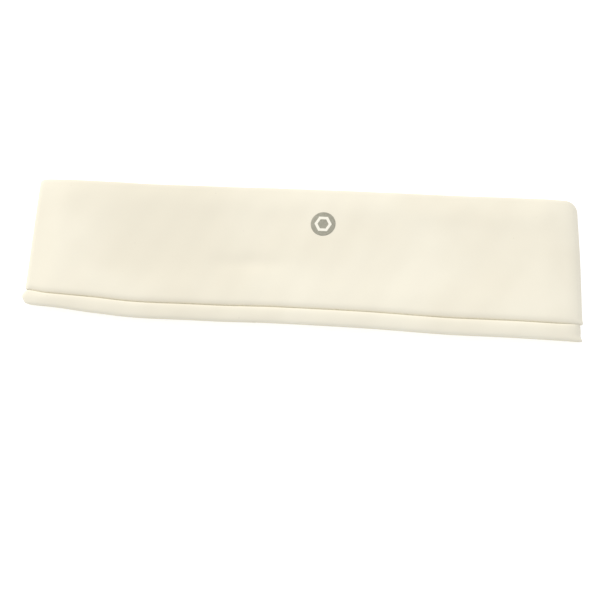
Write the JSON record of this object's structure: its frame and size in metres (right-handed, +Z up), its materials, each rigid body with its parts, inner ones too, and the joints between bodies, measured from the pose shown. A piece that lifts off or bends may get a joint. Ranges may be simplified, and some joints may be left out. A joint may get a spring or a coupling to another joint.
{
  "type": "sports headband",
  "caption": "Wide stretch-knit sports headband lying flat with its loop folded flat, with a folded lower edge band and a small reflective disc.",
  "frame": {"origin": "on the table under the middle of the flattened band", "axes": "+X along the flattened loop towards the end nearer the disc, +Y up the band as worn, +Z up from the table out of the front half"},
  "size_m": [0.24, 0.061, 0.0065],
  "materials": {
    "smooth_knit": "matte ivory nylon and elastane double knit",
    "brushed_knit": "ivory knit brushed to a short soft pile",
    "knitted_elastic": "white flat knitted elastic",
    "seam_thread": "ivory textured polyester thread",
    "reflective_film": "silver-grey glass-bead reflective transfer film",
    "satin_label": "white woven satin"
  },
  "bodies": {
    "root": {"outer_panel": "smooth_knit", "outer_back_seam_thread": "seam_thread", "grip_lining": "brushed_knit", "lining_back_seam_thread": "seam_thread", "lower_edge_band": "smooth_knit", "edge_band_join_thread": "seam_thread", "top_edge_elastic": "knitted_elastic", "top_elastic_tack": "seam_thread", "lower_edge_elastic": "knitted_elastic", "lower_elastic_tack": "seam_thread", "top_seam_thread": "seam_thread", "lower_seam_thread": "seam_thread", "reflective_disc": "reflective_film", "care_label": "satin_label"}
  },
  "joints": []
}
